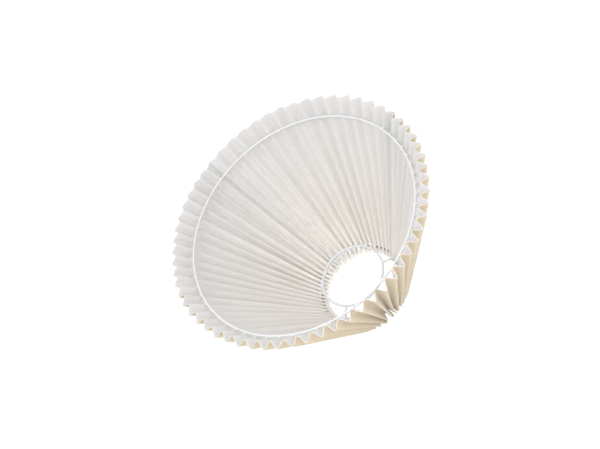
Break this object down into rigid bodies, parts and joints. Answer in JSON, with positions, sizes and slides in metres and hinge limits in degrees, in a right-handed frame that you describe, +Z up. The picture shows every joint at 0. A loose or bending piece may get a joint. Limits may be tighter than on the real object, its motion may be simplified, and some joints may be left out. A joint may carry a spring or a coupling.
{
  "type": "lamp shade",
  "caption": "Cone-shaped accordion-pleated lamp shade on a white wire frame, with a dropped fitter ring that sits on a lamp holder.",
  "frame": {"origin": "on the axis, in the plane of the wide rim that the shade stands on", "axes": "+Z up along the axis, from the wide rim to the narrow rim; +X about 1 degree short of the first fitter arm"},
  "size_m": [0.2888, 0.2889, 0.177],
  "materials": {
    "white_wire": "white powder coat on steel wire, satin",
    "pleated_sheet": "fine beige weave outside, laminated to a pale matt backing inside",
    "lap_tape": "translucent double-sided tape",
    "clear_glue": "dried clear glue"
  },
  "bodies": {
    "root": {"wide_ring": "white_wire", "top_ring": "white_wire", "fitter_ring": "white_wire", "fitter_arm_1": "white_wire", "fitter_arm_2": "white_wire", "fitter_arm_3": "white_wire", "pleated_strip_1": "pleated_sheet", "pleated_strip_2": "pleated_sheet", "pleated_strip_3": "pleated_sheet", "pleated_strip_4": "pleated_sheet", "lap_tape_1": "lap_tape", "lap_tape_2": "lap_tape", "lap_tape_3": "lap_tape", "lap_tape_4": "lap_tape", "wide_ring_glue": "clear_glue"}
  },
  "joints": []
}
